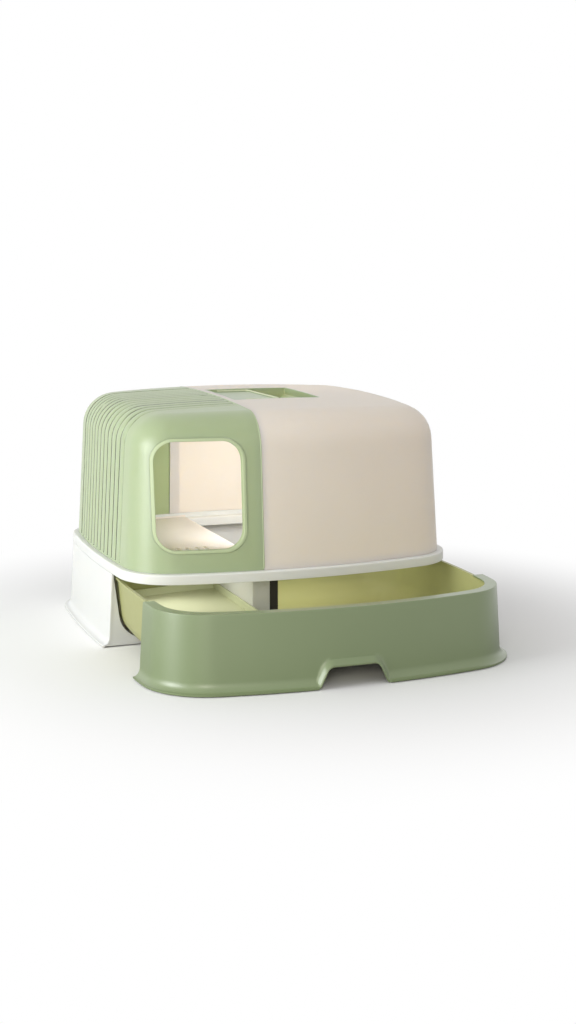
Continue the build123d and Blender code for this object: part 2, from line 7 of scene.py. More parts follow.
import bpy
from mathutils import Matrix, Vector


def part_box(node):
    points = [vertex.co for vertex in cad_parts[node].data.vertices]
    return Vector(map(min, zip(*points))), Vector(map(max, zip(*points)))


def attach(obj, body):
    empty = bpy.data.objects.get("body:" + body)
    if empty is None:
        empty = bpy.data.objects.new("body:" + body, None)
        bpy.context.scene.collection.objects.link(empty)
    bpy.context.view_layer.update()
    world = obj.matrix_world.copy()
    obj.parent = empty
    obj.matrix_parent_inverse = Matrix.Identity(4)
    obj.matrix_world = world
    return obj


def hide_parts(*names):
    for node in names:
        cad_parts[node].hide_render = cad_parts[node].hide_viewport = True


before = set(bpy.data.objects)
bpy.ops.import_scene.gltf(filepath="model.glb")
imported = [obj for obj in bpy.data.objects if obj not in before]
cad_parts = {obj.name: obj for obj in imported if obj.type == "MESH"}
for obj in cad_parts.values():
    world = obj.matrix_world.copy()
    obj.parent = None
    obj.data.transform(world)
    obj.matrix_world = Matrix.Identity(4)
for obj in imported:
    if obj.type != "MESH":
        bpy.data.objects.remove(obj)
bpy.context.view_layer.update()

# %% Modules and units
import math
from contextlib import contextmanager
from functools import partial

import bmesh
import bpy
import numpy as np
from mathutils import Vector

MM = 0.001  # sizes below are in millimetres, and Blender works in metres

# %% [markdown]
# ## The plan outline
# Seen from above, every large moulding of this box has the same outline: four gently bowed
# sides and four round corners. One function walks along that outline, so the ring, the skirts,
# the hood and the tub all line up. Sizes are the solids' own, so nothing has to be fitted.

# %% Sizes that every moulding shares
body = (557.0, 523.0, 88.0)  # width, depth and corner radius
front_bow, side_bow = 36.5, 12.5
base_y, drawer_y = 92.5, -92.5
ring_bottom, ring_top, roof_top = 117.5, 133.0, 380.0
rim_top, skirt_wall = 114.0, 3.0
skirt_spread, flare_out, flare_height, foot_edge = 6.0, 10.5, 14.0, 3.0
lead_x, lead_y = 185.0, 140.0  # where the straight legs of the walk end
side_end, wall_gap = 127.0, 1.5  # where the drawer front's sides end, and the gap behind them


# %% Walk along the outline
def walk(size, legs, ends=(lead_x, lead_y), turn=18, steps=3):
    """Points along the outline, leg by leg, and the outward direction at each one."""
    across, along, corner = size[0] / 2, size[1] / 2, size[2]
    edge_x, edge_y = across - side_bow, along - front_bow
    front_r = (edge_x**2 + front_bow**2) / (2 * front_bow)
    side_r = (edge_y**2 + side_bow**2) / (2 * side_bow)
    front_c, side_c = np.array([0, along - front_r]), np.array([across - side_r, 0])
    gap, r1, r2 = side_c - front_c, front_r - corner, side_r - corner
    reach = np.hypot(*gap)
    t = (reach**2 + r1**2 - r2**2) / (2 * reach)
    h = math.sqrt(r1**2 - t**2)
    ahead = gap / reach
    beside = np.array([-ahead[1], ahead[0]])
    middle = max((front_c + ahead * t + s * beside * h for s in (1, -1)), key=sum)
    front_end = front_c + (middle - front_c) / r1 * front_r
    side_end = side_c + (middle - side_c) / r2 * side_r
    front = lambda u: along - front_r + math.sqrt(front_r**2 - u**2)
    side = lambda v: across - side_r + math.sqrt(side_r**2 - v**2)

    bend = []  # from the end of the front leg round the corner to the end of the side leg
    full = math.asin(front_end[0] / front_r)
    for k in range(1, steps + 1):
        u = ends[0] + (front_end[0] - ends[0]) * k / steps
        bend.append((u, front(u), full * k / steps))
    last = math.pi / 2 - math.asin(side_end[1] / side_r)
    for k in range(1, turn + 1):
        angle = full + (last - full) * k / turn
        at = middle + corner * np.array([math.sin(angle), math.cos(angle)])
        bend.append((at[0], at[1], angle))
    for k in range(1, steps):
        v = side_end[1] + (ends[1] - side_end[1]) * k / steps
        bend.append((side(v), v, last + (math.pi / 2 - last) * k / steps))

    points, ways = [], []
    for leg in legs:
        if leg[0] == "bend":
            _, sx, sy, forward = leg
            for u, v, angle in bend if forward else bend[::-1]:
                points.append((sx * u, sy * v))
                ways.append((sx * math.sin(angle), sy * math.cos(angle)))
        elif leg[0] in ("front", "back"):
            sy = -1 if leg[0] == "front" else 1
            points += [(x, sy * front(x)) for x in leg[1]]
            ways += [(0, sy)] * len(leg[1])
        else:
            sx = -1 if leg[0] == "left" else 1
            points += [(sx * side(y), y) for y in leg[1]]
            ways += [(sx, 0)] * len(leg[1])
    return np.array(points, float), np.array(ways, float)


def inset_size(size, inset, extra=0.0):
    return (size[0] - 2 * (inset + extra), size[1] - 2 * inset, size[2] - inset)


# %% Legs of the walks
across_xs = np.linspace(-lead_x, lead_x, 25)
along_ys = np.linspace(-lead_y, lead_y, 15)
FRONT_RIGHT, BACK_RIGHT = ("bend", 1, -1, True), ("bend", 1, 1, False)
BACK_LEFT, FRONT_LEFT = ("bend", -1, 1, True), ("bend", -1, -1, False)


def round_trip(xs, ys):
    """Legs of a walk all the way round."""
    return [
        ("front", xs), FRONT_RIGHT, ("right", ys), BACK_RIGHT,
        ("back", xs[::-1]), BACK_LEFT, ("left", ys[::-1]), FRONT_LEFT,
    ]


whole_way = round_trip(across_xs, along_ys)
print("points round the outline:", len(walk(body, whole_way)[0]))

# %% [markdown]
# ## Solid pieces from a swept section
# The ring, both skirts and the tub are one wall section carried round the outline. A section is
# a closed line of (inset, height) points with its corners rounded, and each point makes one
# ring. Curve to Mesh could carry it too, but its section keeps one width, while these walls get
# a little wider at the corners, as the moulds' do.


# %% Section corners and mesh helpers
def between(start, end, angle, t):
    """The direction a share t of the way from start round to end."""
    return (math.sin((1 - t) * angle) * start + math.sin(t * angle) * end) / math.sin(angle)


def rounded(corners, arcs=3):
    """A closed section line, each corner given as (inset, height, radius)."""
    line = []
    for i, (a, b, radius) in enumerate(corners):
        here = np.array([a, b])
        before = np.array(corners[i - 1][:2]) - here
        after = np.array(corners[(i + 1) % len(corners)][:2]) - here
        if radius == 0:
            line.append((a, b))
            continue
        before, after = before / np.hypot(*before), after / np.hypot(*after)
        half = math.acos(np.clip(before @ after, -1, 1)) / 2
        centre = here + (before + after) / np.hypot(*(before + after)) * radius / math.sin(half)
        start = here + before * radius / math.tan(half) - centre
        end = here + after * radius / math.tan(half) - centre
        angle = math.acos(np.clip(start @ end / radius**2, -1, 1))
        line += [tuple(centre + between(start, end, angle, k / arcs)) for k in range(arcs + 1)]
    return line


def quads(rows, columns, wrap_rows=False, wrap_columns=False, first=0):
    """Faces of a grid of rows by columns."""
    faces = []
    for r in range(rows if wrap_rows else rows - 1):
        for c in range(columns if wrap_columns else columns - 1):
            r2, c2 = (r + 1) % rows, (c + 1) % columns
            faces.append(tuple(first + i * columns + j for i, j in ((r, c), (r, c2), (r2, c2), (r2, c))))
    return faces


def bar_faces(rows, count, closed):
    """Faces of a closed section's rings, with a cap at each end of an open walk."""
    faces = quads(rows, count, wrap_rows=True, wrap_columns=closed)
    if not closed:
        faces += [tuple(r * count + c for r in range(rows)) for c in (0, count - 1)]
    return faces


@contextmanager
def edited(mesh):
    """A mesh opened for editing, and written back afterwards."""
    form = bmesh.new()
    form.from_mesh(mesh)
    yield form
    form.to_mesh(mesh)
    form.free()


def put_in_scene(name, data):
    """A new object at the origin."""
    made = bpy.data.objects.new(name, data)
    bpy.context.scene.collection.objects.link(made)
    return made


def new_solid(name, points, faces):
    """A closed mesh from points in millimetres, its doubles merged and its faces outward."""
    mesh = bpy.data.meshes.new(name)
    mesh.from_pydata([tuple(float(v) * MM for v in p) for p in points], [], faces)
    with edited(mesh) as form:
        bmesh.ops.remove_doubles(form, verts=form.verts, dist=2e-6)
        bmesh.ops.recalc_face_normals(form, faces=form.faces)
    return put_in_scene(name, mesh)


def carried(section, legs, centre_y, size=body, **how):
    """Points of a section carried along legs of the outline, and how many each ring has."""
    rings = [walk(inset_size(size, inset), legs, **how)[0] for inset, _ in section]
    points = [(x, y + centre_y, z) for ring, (_, z) in zip(rings, section) for x, y in ring]
    return points, len(rings[0])


def sweep(section, legs, centre_y, closed=True):
    points, count = carried(section, legs, centre_y)
    return points, bar_faces(len(section), count, closed)


def joined(*parts):
    """Several lists of points and faces as one."""
    points, faces = [], []
    for more_points, more_faces in parts:
        shift = len(points)
        points += list(more_points)
        faces += [tuple(i + shift for i in face) for face in more_faces]
    return points, faces


def prism(outline, low, high, upright=False):
    """A thick plate: level, from low to high, or upright, from low to high in y."""
    count = len(outline)
    points = [(u, w, v) if upright else (u, v, w) for w in (low, high) for u, v in outline]
    faces = quads(2, count, wrap_columns=True)
    return points, faces + [tuple(range(count)), tuple(range(count, 2 * count))]


# %% [markdown]
# ## Finishes
# The whole box is moulded polypropylene with a satin skin. Up close, such a skin has a fine
# grain, flow gives it a very slight cloudiness, and its gloss is not quite even. Three noises
# on Object coordinates make these: one for colour, one for roughness and one for the grain's
# bump. Object coordinates stay with a piece as it moves, and need no unwrapping.


# %% Node helpers
def add_node(tree, kind, inputs=(), **settings):
    """A node with its settings made and its inputs, by name or number, linked or given a value."""
    node = tree.nodes.new(kind)
    for setting, value in settings.items():
        setattr(node, setting, value)
    for key, value in dict(inputs).items():
        if isinstance(value, bpy.types.NodeSocket):
            tree.links.new(value, node.inputs[key])
        else:
            node.inputs[key].default_value = value
    return node


def mixed(tree, share, a, b):
    """Colour a where the share is 0, and colour b where it is 1."""
    mix = add_node(tree, "ShaderNodeMix", {"Factor": share, "A": a, "B": b}, data_type="RGBA")
    return mix.outputs["Result"]


# %% Moulded plastic
# Scale, detail and roughness of each noise.
cloudiness, gloss_patches, skin_grain = (9.0, 3.0, 0.55), (70.0, 2.0, 0.5), (1800.0, 2.0, 0.6)
grain_height, plastic_ior, coat_haze = 0.0002, 1.49, 0.36
glow_colour, glow_depth = (1.0, 0.9, 0.75), 0.012


def moulded_plastic(name, colour, deeper, rough=0.42, glow=0.0, grain=0.12, coat=0.0, groove=None):
    """Satin plastic that shifts softly between two near colours, and to a dark painted shade in its grooves.
    """
    material = bpy.data.materials.new(name)
    material.use_nodes = True
    tree = material.node_tree
    shader = tree.nodes["Principled BSDF"]
    place = add_node(tree, "ShaderNodeTexCoord").outputs["Object"]

    def noise(scale, detail, roughness):
        made = add_node(tree, "ShaderNodeTexNoise", {
            "Vector": place, "Scale": scale, "Detail": detail, "Roughness": roughness})
        return made.outputs["Fac"]

    skin = mixed(tree, noise(*cloudiness), (*colour, 1), (*deeper, 1))
    # Painted shade: the stored groove share mixes the colour toward a dark shade colour.
    if groove:
        pressed = add_node(tree, "ShaderNodeAttribute", attribute_name="groove").outputs["Fac"]
        skin = mixed(tree, pressed, skin, (*groove, 1))
    tree.links.new(skin, shader.inputs["Base Color"])

    gloss = add_node(tree, "ShaderNodeMapRange", {
        "Value": noise(*gloss_patches), "To Min": rough - 0.05, "To Max": rough + 0.07})
    tree.links.new(gloss.outputs["Result"], shader.inputs["Roughness"])
    bump = add_node(tree, "ShaderNodeBump", {
        "Height": noise(*skin_grain), "Strength": grain, "Distance": grain_height})
    tree.links.new(bump.outputs["Normal"], shader.inputs["Normal"])
    shader.inputs["IOR"].default_value = plastic_ior
    shader.inputs["Coat Weight"].default_value = coat
    shader.inputs["Coat Roughness"].default_value = coat_haze
    if glow:
        shader.inputs["Subsurface Weight"].default_value = glow
        shader.inputs["Subsurface Radius"].default_value = glow_colour
        shader.inputs["Subsurface Scale"].default_value = glow_depth
    # Painted shade too: the glow fades out in the grooves, so that they stay dark.
    if glow and groove:
        glow_off_in_painted_shade = add_node(tree, "ShaderNodeMapRange", {"Value": pressed, "To Min": glow, "To Max": 0.0})
        tree.links.new(glow_off_in_painted_shade.outputs["Result"], shader.inputs["Subsurface Weight"])
    return material


sage_tones = (0.37, 0.45, 0.262), (0.345, 0.425, 0.237)
sage = moulded_plastic("sage_plastic", *sage_tones, glow=0.7, coat=0.6)
# The ribbed half gets a dark green painted shade in its grooves.
ribbed_sage = moulded_plastic(
    "ribbed_sage_plastic", *sage_tones, glow=0.7, coat=0.6, groove=(0.05, 0.065, 0.035))
deep_sage = moulded_plastic(
    "deep_sage_plastic", (0.195, 0.252, 0.118), (0.18, 0.237, 0.108), rough=0.4, coat=1.0)
# The tub's green, pushed toward olive yellow: partly its own colour, partly painted warm light from inside
# the box.
tub_sage_painted_warm = moulded_plastic("tub_sage_painted_warm_plastic", (0.40, 0.41, 0.18), (0.375, 0.385, 0.16), coat=0.2)
cream = moulded_plastic("cream_plastic", (0.83, 0.735, 0.65), (0.80, 0.705, 0.62), rough=0.46, glow=0.8)
chalk = moulded_plastic("chalk_plastic", (0.77, 0.775, 0.735), (0.74, 0.745, 0.705), rough=0.44, glow=0.4)
pale_sage_trim_and_highlight = moulded_plastic("pale_sage_trim_and_highlight_plastic", (0.47, 0.55, 0.33), (0.44, 0.52, 0.305), rough=0.38)
tray_green_and_highlight = moulded_plastic("tray_and_highlight_plastic", (0.66, 0.70, 0.48), (0.63, 0.67, 0.455), rough=0.4)
slide_white = moulded_plastic("slide_plastic", (0.80, 0.80, 0.77), (0.76, 0.76, 0.73), rough=0.3)
plastics = (sage, ribbed_sage, deep_sage, tub_sage_painted_warm, cream, chalk, pale_sage_trim_and_highlight, tray_green_and_highlight, slide_white)
print("plastics:", ", ".join(m.name for m in plastics))


# %% Rubber and steel
def worn(name, colour, deeper, rough, metal=0.0, stretch=(1, 1, 1), scale=400.0, grain=0.3):
    """Rubber or drawn steel: a noise, stretched for steel, moves colour, gloss and bump."""
    material = moulded_plastic(name, colour, deeper, rough, grain=grain)
    tree = material.node_tree
    tree.nodes["Principled BSDF"].inputs["Metallic"].default_value = metal
    place = tree.nodes["Texture Coordinate"].outputs["Object"]
    turn = add_node(tree, "ShaderNodeMapping", {"Vector": place, "Scale": stretch})
    for made in [n for n in tree.nodes if n.type == "TEX_NOISE"]:
        tree.links.new(turn.outputs["Vector"], made.inputs["Vector"])
        made.inputs["Scale"].default_value = max(made.inputs["Scale"].default_value, scale)
    return material


seal_rubber = worn("seal_rubber", (0.020, 0.018, 0.014), (0.030, 0.027, 0.021), 0.6)
pad_rubber = worn("pad_rubber", (0.035, 0.035, 0.036), (0.050, 0.050, 0.051), 0.72)
drawn_steel = worn("drawn_steel", (0.60, 0.60, 0.61), (0.52, 0.52, 0.53), 0.28, metal=1.0,
                   stretch=(1, 0.04, 1), scale=900.0, grain=0.1)
print("others:", ", ".join(m.name for m in (seal_rubber, pad_rubber, drawn_steel)))


# %% Put a piece in place
def settle(piece):
    """Applies a piece's modifiers, so that it is a plain mesh."""
    bpy.context.view_layer.update()
    seen = piece.evaluated_get(bpy.context.evaluated_depsgraph_get())
    mesh = bpy.data.meshes.new_from_object(seen)
    piece.modifiers.clear()
    piece.data = mesh
    mesh.name = piece.name


def dress(piece, rides_on, material, stands_for=(), sharp=32.0):
    """Marks a piece's sharp edges, evens its normals, and gives it its finish and body."""
    with edited(piece.data) as form:
        for face in form.faces:
            face.smooth = True
            face.material_index = 0
        for edge in form.edges:
            edge.smooth = len(edge.link_faces) == 2 and edge.calc_face_angle(0) < math.radians(sharp)
    even = piece.modifiers.new("even_normals", "WEIGHTED_NORMAL")
    even.keep_sharp = True
    even.weight = 50
    settle(piece)
    piece.data.materials.clear()
    piece.data.materials.append(material)
    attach(piece, rides_on)
    if stands_for:
        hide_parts(*stands_for)
    print(f"{piece.name}: {len(piece.data.polygons)} faces")
    return piece


# %% [markdown]
# ## Base frame
# The base is one white moulding: a channel-shaped ring that carries the hood, a low lip inside
# it that keeps the hood in place, and a wall that leans out to a coved foot at the sides and
# the back. The ring and the wall are two sweeps. The front is open for the drawer, so the
# wall's walk stops short of it, and a thin jamb closes the wall's cut end on each side.


# %% Skirt section
cove_steps = 6


def skirt_line(low, high, skin=0.0):
    """Points of a skirt's surface from its foot up, thinned by skin."""
    line = [(-skirt_spread - flare_out + skin, low)]
    for k in range(cove_steps + 1):
        turn = math.pi / 2 * k / cove_steps
        line.append((
            -skirt_spread - flare_out * (1 - math.sin(turn)) + skin,
            low + foot_edge + flare_height * (1 - math.cos(turn)),
        ))
    return line + [(skin, high)]


# %% Ring and walls
ring_width, ring_skin = 32, 3
upstand_from, upstand_to, upstand_top = 11.7, 13.9, ring_top + 8
ring_section = rounded([
    (0, ring_bottom, 0.8), (0, ring_top, 2.4),
    (upstand_from, ring_top, 0), (upstand_from, upstand_top, 0.6),
    (upstand_to, upstand_top, 0.6), (upstand_to, ring_top, 0),
    (ring_width, ring_top, 1.2), (ring_width, ring_bottom, 0.8),
    (ring_width - ring_skin, ring_bottom, 0.6), (ring_width - ring_skin, ring_top - ring_skin, 0),
    (ring_skin, ring_top - ring_skin, 0), (ring_skin, ring_bottom, 0.6),
])
foot_round = 0.8
wall_corners = [(*p, 0) for p in skirt_line(0, ring_bottom) + skirt_line(0, ring_bottom, skirt_wall)[::-1]]
for foot_corner in (0, -1):
    wall_corners[foot_corner] = (*wall_corners[foot_corner][:2], foot_round)
wall_section = rounded(wall_corners)
wall_front = base_y - side_end + wall_gap
side_ys = np.linspace(wall_front - base_y, lead_y, 14)
back_way = [
    ("right", side_ys), BACK_RIGHT, ("back", across_xs[::-1]), BACK_LEFT, ("left", side_ys[::-1]),
]
ring = sweep(ring_section, whole_way, base_y)
walls = sweep(wall_section, back_way, base_y, closed=False)
print("ring and wall sections:", len(ring_section), len(wall_section))


# %% Jambs
jamb_sink, jamb_back = 0.4, 3.0  # how far a jamb lies inside the wall's surfaces, and how far back it goes


def wall_x(height):
    """Half width to just inside the base wall's inner face at its front end."""
    line = np.array(skirt_line(0, ring_bottom, skirt_wall - jamb_sink))
    inset = np.interp(height, line[:, 1], line[:, 0])
    return -walk(inset_size(body, inset), [("left", [wall_front - base_y])])[0][0][0]


# The tub's way through: half widths above and below, their heights, and the corner between them.
# The last point of its line only closes it, and is left out.
passage_top, passage_low, shoulder_z, floor_z, passage_round = 271.2, 259.7, 106.8, 11.8, 41.0
glide_reach, runner_in, runner_top, pad_height = 193.2, 170, 8, 2
passage = rounded([
    (passage_top, ring_bottom, 0), (passage_top, shoulder_z, 0), (passage_low, floor_z, passage_round),
    (glide_reach, floor_z, 0), (glide_reach, runner_top, 0), (runner_in, runner_top, 0),
    (runner_in, pad_height, 0), (300, pad_height, 0),
], arcs=8)[:-1]
outer_edge = [(wall_x(z), z) for z in (pad_height, 3, 5, 8, 12, 17, 40, 80, ring_bottom)]
jamb_line = outer_edge + passage
jamb_ys = wall_front + jamb_sink, wall_front + jamb_back
jambs = [prism([(side * x, z) for x, z in jamb_line], *jamb_ys, upright=True) for side in (-1, 1)]
base_piece = new_solid("base_ring_and_walls", *joined(ring, walls, *jambs))
dress(base_piece, "base", chalk, ["base_frame"])

# %% [markdown]
# ## Drawer front
# The drawer front is the same coved skirt, carried round the front corners only, with a narrow
# rim on top. A low arch in its middle lets fingers under it, and a flat lip runs round the arch.
# So each column of the sweep starts at the arch instead of the floor, and the lip is a rule of
# the distance to the arch's edge.

# %% The arch that fingers reach under
pull_x, pull_low, pull_rise = -4.0, 1.0, 30.0
arch_foot, arch_head, arch_end = 52, 38, 60  # half widths below and above, and where its line ends
lip_width, lip_squeeze, lip_out = 7.0, 1.25, flare_out - 2.5
arch_corners = rounded([
    (0, -20, 0), (arch_end, -20, 0), (arch_end, 0, 0), (arch_foot, 0, 4.0),
    (arch_head, pull_rise, 12.0), (0, pull_rise, 0),
], arcs=8)
arch = np.array(sorted(set(arch_corners[2:]), key=lambda p: p[0]))
arch_line = arch * (lip_squeeze, 1)  # so the lip is narrower beside the arch than above it


def arch_height(x):
    return float(np.interp(abs(x - pull_x), arch[:, 0], arch[:, 1], right=0))


def arch_distance(x, z):
    """How far a point of the front lies from the arch's edge."""
    at = np.array([abs(x - pull_x) * lip_squeeze, z - pull_low])
    starts, ways = arch_line[:-1], arch_line[1:] - arch_line[:-1]
    t = np.clip(((at - starts) * ways).sum(1) / np.maximum((ways**2).sum(1), 1e-9), 0, 1)
    return float(np.hypot(*(starts + ways * t[:, None] - at).T).min())


def cove(distance):
    """How far the flare stands out at this distance from the edge, from 1 down to 0."""
    across_cove = np.clip(1 - (distance - foot_edge) / flare_height, 0, 1)
    return 1 - math.sin(math.acos(across_cove))


def arch_lip(distance):
    """The same for the flat lip round the arch, which ends in a crisp line."""
    return float(np.clip(1 - (distance - foot_edge) / lip_width, 0, 1))


# %% Drawer front
levels = [24, 30, 37, 45, 55, 68, 84, 100]
rim_wall, rim_width = 3, 17
wall_lean = lambda z: -skirt_spread * min(1, (rim_top - z) / (rim_top - pull_low - foot_edge - flare_height))
outer_wall = skirt_line(pull_low, rim_top)
inner_wall = skirt_line(pull_low, rim_top - rim_wall, skirt_wall)
outer_line = outer_wall[:-1] + [(wall_lean(z), z) for z in levels] + outer_wall[-1:]
inner_line = inner_wall[:-1] + [(wall_lean(z) + skirt_wall, z) for z in levels] + inner_wall[-1:]
rim_line = [(rim_width, rim_top), (rim_width, rim_top - rim_wall)]
corners = [(a, b, 0) for a, b in outer_line + rim_line + inner_line[::-1]]
rim_at = len(outer_line) - 1
for at, radius in ((0, 1.0), (rim_at, 1.4), (rim_at + 1, 1.2), (rim_at + 2, 1.2), (-1, 0.8)):
    corners[at] = (*corners[at][:2], radius)
front_section = rounded(corners)

# Columns stand 1.5 mm apart over the arch's shoulders, and further apart in its middle and beyond it.
pull_reach = 80
pull_steps = [0, 8, 16, *np.arange(25.5, 76, 1.5)]
pull_xs = {pull_x + side * step for side in (-1, 1) for step in pull_steps}
front_xs = np.array(sorted(pull_xs.union(x for x in across_xs if abs(x - pull_x) > pull_reach)))
side_end_ys = np.array([-side_end])
front_way = [("left", side_end_ys), FRONT_LEFT, ("front", front_xs), FRONT_RIGHT, ("right", side_end_ys)]
front_ends = (lead_x, side_end)
lift_from, lift_to = 18, 100  # the arch lifts the wall in full up to here, and not at all from there


def front_point(inset, z, x):
    """Where a point of the plain section goes in the column at x."""
    high = arch_height(x)
    lift = high * np.clip(1 - (z - lift_from) / (lift_to - lift_from), 0, 1)
    through = inset - (wall_lean(z) - flare_out * cove(z - pull_low))
    floor_cove = 0 if high else cove(z - pull_low)
    stands = max(flare_out * floor_cove, lip_out * arch_lip(arch_distance(x, z + lift)))
    return wall_lean(z + lift) - stands + through, z + lift


def drawer_front_mesh():
    points, count = carried(front_section, front_way, drawer_y, ends=front_ends)
    first = 1 + len(walk(body, [FRONT_LEFT], ends=front_ends)[0])
    for i, (x, _, _) in enumerate(points):
        inset, z = front_section[i // count]
        on_front = 0 <= i % count - first < len(front_xs) and abs(x - pull_x) < pull_reach
        if on_front and inset < skirt_wall + 0.2:
            moved, height = front_point(inset, z, x)
            y = walk(inset_size(body, moved), [("front", [x])])[0][0][1]
            points[i] = (x, y + drawer_y, height)
    return points, bar_faces(len(front_section), count, closed=False)


front_piece = new_solid("drawer_front_skirt", *drawer_front_mesh())
dress(front_piece, "drawer", deep_sage, ["drawer_front"], sharp=40)

# %% [markdown]
# ## Litter tub
# The tub hangs behind the drawer front. Its walls lean in to a floor with a large fillet, and
# a small lip stiffens its edge. It has the same outline with its own size, so one more sweep
# makes it: the section runs up the outside and down the inside, and the flat floors close it.

# %% Tub
tub, tub_lead, tub_set_back = (535.0, 467.0, 82.0), (165.0, 100.0), 6
tub_y = drawer_y + (tub[1] - body[1]) / 2 + tub_set_back
tub_top, tub_low, tub_taper, tub_wall, tub_round = rim_top - 3, 13.0, 9.0, 3, 42


def tub_side(skin, low):
    """Wall and floor fillet, from below the top edge down to where the floor gets flat."""
    foot = tub_taper + skin
    line = rounded([
        (skin, tub_top, 0), (foot, low, tub_round - skin), (foot + 90, low, 0), (0, low - 500, 0),
    ], arcs=9)
    return line[1:-2]


# The section goes up the outside, round the lip and down the inside. The corner at 60, 60 is
# left out, and only aims the lip's inner edge.
edge_x, edge_low = -2.5, tub_top - 3
lip = rounded([
    (edge_x, tub_top, 1.0), (edge_x, edge_low, 0.8), (0.3, edge_low, 0),
    (60, 60, 0), (tub_wall, tub_top, 0.8),
])
lip_outside, lip_under, lip_inside = lip[:8], lip[8], lip[10:]
tub_line = [
    *tub_side(0, tub_low)[::-1], lip_under, *lip_outside[::-1], *lip_inside[::-1],
    *tub_side(tub_wall, tub_low + tub_wall),
]
tub_way = round_trip(np.linspace(-tub_lead[0], tub_lead[0], 15), np.linspace(-tub_lead[1], tub_lead[1], 9))
tub_points, tub_count = carried(tub_line, tub_way, tub_y, tub, ends=tub_lead)
tub_faces = quads(len(tub_line), tub_count, wrap_columns=True)
last_ring = len(tub_points) - tub_count
tub_faces += [tuple(range(tub_count)), tuple(range(last_ring, len(tub_points)))]
tub_piece = new_solid("litter_tub", tub_points, tub_faces)
# The tub's colour holds painted warm light from inside the box.
dress(tub_piece, "drawer", tub_sage_painted_warm, ["drawer_tub"])

# %% [markdown]
# ## Hood
# Both halves of the hood are parts of one form: walls that lean in as they rise, a large round
# edge, and a roof that is part of a very big sphere. A column starts at each point of the
# outline, goes up the wall, round the edge, and over the roof to the seam or the roof's middle.
# The same columns, moved in by the wall's thickness, make the inside.

# %% Columns of the hood
hood_inset, hood_wall, seam_x = 9.0, 3.6, -67.0
roof_r, crown_back, edge_r = 4000.0, 65.0, 55.0
past_roof = 10.0  # a column's line is aimed this far above the roof
stretch = 1 + past_roof / (roof_top - ring_top)
front_lean, side_lean = 17.0 * stretch, 15.0 * stretch
ball = np.array([0, crown_back, roof_top - roof_r])
groove_foot = 3.8  # the grooves start this far above the hood's foot, between two rows
foot_rows = [0, 3.4, 4.2]


def hood_sheet(skin, legs, targets, wall_rows=16, edge_rows=9, roof_rows=16):
    """Grid of points on the hood's surface, thinned by skin: rows from the ring to the roof's targets."""
    low, ways = walk(inset_size(body, hood_inset + skin), legs)
    high, _ = walk(inset_size(body, hood_inset + skin + front_lean, side_lean - front_lean), legs)
    columns = []
    for a, b, way in zip(low, high, ways):
        foot, head = np.array([*a, ring_top]), np.array([*b, roof_top + past_roof])
        rise = (head - foot) / np.linalg.norm(head - foot)
        inward = np.array([-way[0], -way[1], 0])
        inward = inward - (inward @ rise) * rise
        inward /= np.linalg.norm(inward)
        start = foot + inward * (edge_r - skin) - ball
        reach = roof_r - edge_r
        up = -start @ rise + math.sqrt((start @ rise) ** 2 - start @ start + reach**2)
        centre = foot + inward * (edge_r - skin) + rise * up
        heights = foot_rows + list(np.linspace(foot_rows[-1], up, wall_rows)[1:])
        column = [foot + rise * t for t in heights]
        out = (centre - ball) / np.linalg.norm(centre - ball)
        angle = math.acos(np.clip(-inward @ out, -1, 1))
        for k in range(1, edge_rows + 1):
            column.append(centre + between(-inward, out, angle, k / edge_rows) * (edge_r - skin))
        columns.append(column)
    grid = np.array(columns)
    ends = grid[:, -1, :2]
    for k in range(1, roof_rows + 1):
        t = k / roof_rows
        flat = ends * (1 - t) + targets(ends) * t
        height = ball[2] + np.sqrt((roof_r - skin) ** 2 - ((flat - ball[:2]) ** 2).sum(1))
        grid = np.concatenate([grid, np.column_stack([flat, height])[:, None]], axis=1)
    return grid.transpose(1, 0, 2) + np.array([0, base_y, 0])


def hood_solid(name, legs, targets, seam_top):
    """A shell between the outer and the inner sheet, closed along its border."""
    outer, inner = hood_sheet(0, legs, targets), hood_sheet(hood_wall, legs, targets)
    rows, count = outer.shape[:2]
    half = rows * count
    points = list(outer.reshape(-1, 3)) + list(inner.reshape(-1, 3))
    faces = quads(rows, count) + quads(rows, count, first=half)
    border = [range(count), *(range(c, half, count) for c in (0, count - 1))]
    if seam_top:
        border.append(range(half - count, half))
    for line in border:
        faces += [(a, b, b + half, a + half) for a, b in zip(line, line[1:])]
    return new_solid(name, points, faces)


# %% [markdown]
# ### Ribbed entry half
# The green half has 13 grooves that run up its side wall and across its roof. They follow
# a rule: the distance to the nearest groove line says how deep the surface goes. A Geometry
# Nodes tree moves the outer points by that rule, crowns the ribs between the grooves a little and
# stores how deep each point went, so that the finish can paint shade into the grooves and turn
# their glow down there. The columns stand close together at each groove, so that its flanks are
# crisp, where booleans would leave rough edges.

# %% Groove lines
groove_count, groove_pitch = 13, 22.25
groove_flat, groove_edge, groove_depth, rib_crown = 1.1, 2.3, 2.7, 1.5
lines = (np.arange(groove_count) - (groove_count - 1) / 2) * groove_pitch
flanks = [side * f for side in (-1, 1) for f in np.linspace(groove_flat, groove_edge, 5)] + [0.0]
rib_steps = groove_pitch * np.array([0.16, 0.24, 0.34, 0.5, 0.66, 0.76, 0.84])
groove_ys = sorted(
    {round(g + f, 3) for g in lines for f in flanks}
    | {round(g + f, 3) for g in lines[:-1] for f in rib_steps} | {lead_y, -lead_y}
)
entry_xs = np.linspace(-lead_x, seam_x, 13)
entry_way = [
    ("back", entry_xs[::-1]), BACK_LEFT, ("left", np.array(groove_ys[::-1])), FRONT_LEFT, ("front", entry_xs),
]


